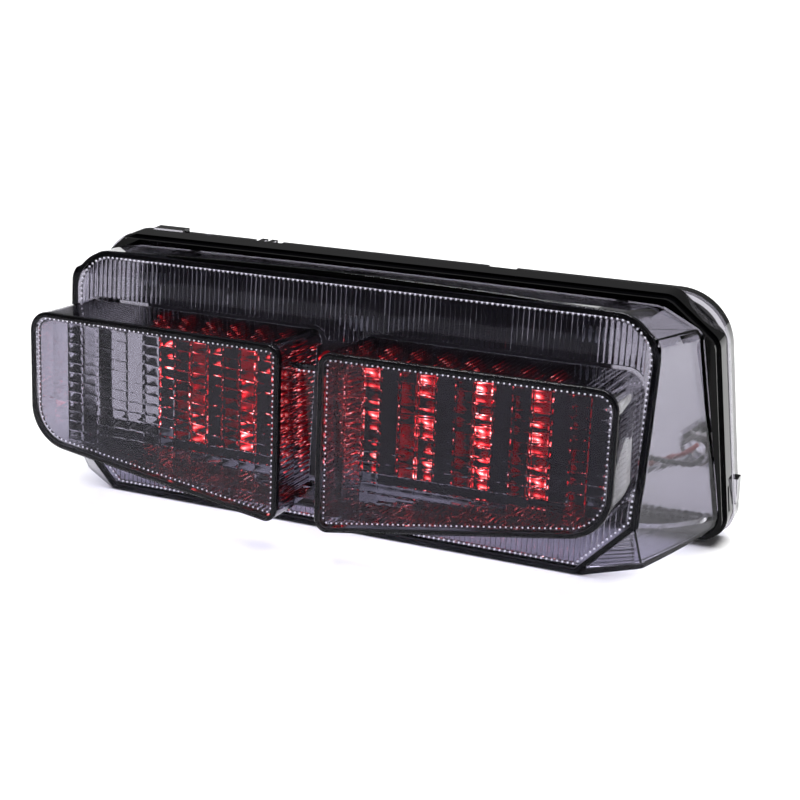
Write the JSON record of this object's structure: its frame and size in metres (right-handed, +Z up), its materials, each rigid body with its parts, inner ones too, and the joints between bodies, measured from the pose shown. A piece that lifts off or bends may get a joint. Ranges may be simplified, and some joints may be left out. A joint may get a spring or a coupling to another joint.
{
  "type": "motorcycle tail light",
  "caption": "Smoked LED tail light with two projecting lens boxes on a fluted panel, a black rim band, a smoked back cover and two rear mounting studs.",
  "frame": {"origin": "middle of the two mounting studs, on the plane of the rubber pads and centre boss that the mounting bracket bears on", "axes": "+X to the right of someone facing the lens, along the light's width; +Y along the studs, from the lens into the motorcycle; +Z up"},
  "size_m": [0.2542, 0.1082, 0.0873],
  "materials": {
    "smoked_polycarbonate": "glossy smoked transparent, fluted and prismed inside",
    "black_abs": "high gloss moulded",
    "sealant": "matte",
    "board_laminate": "black solder mask",
    "zinc_steel": "zinc plated",
    "resistor_body": "lacquered",
    "epoxy_black": "moulded epoxy",
    "terminal_nylon": "black nylon",
    "rubber": "matte",
    "inlet_nylon": "black glass-filled nylon",
    "pin_brass": "tinned brass",
    "led_epoxy": "clear red epoxy",
    "wire_black": "smooth insulation",
    "wire_red": "smooth insulation",
    "wire_grey": "smooth insulation"
  },
  "bodies": {
    "root": {"lens_cover": "smoked_polycarbonate", "rim_frame": "black_abs", "back_cover": "smoked_polycarbonate", "lens_seal": "sealant", "led_board": "board_laminate", "board_screws": "zinc_steel", "column_resistors": "resistor_body", "steering_diodes": "epoxy_black", "current_regulator": "epoxy_black", "terminal_block": "terminal_nylon", "left_stud": "zinc_steel", "right_stud": "zinc_steel", "seat_pads": "rubber", "inlet_socket": "inlet_nylon", "inlet_pins": "pin_brass", "inlet_seal": "rubber", "inlet_nut": "inlet_nylon", "breather_caps": "rubber", "brake_leds_left": "led_epoxy", "brake_leds_right": "led_epoxy", "tail_leds_left": "led_epoxy", "tail_leds_right": "led_epoxy", "ground_wire": "wire_black", "tail_wire": "wire_red", "brake_wire": "wire_grey"}
  },
  "joints": []
}
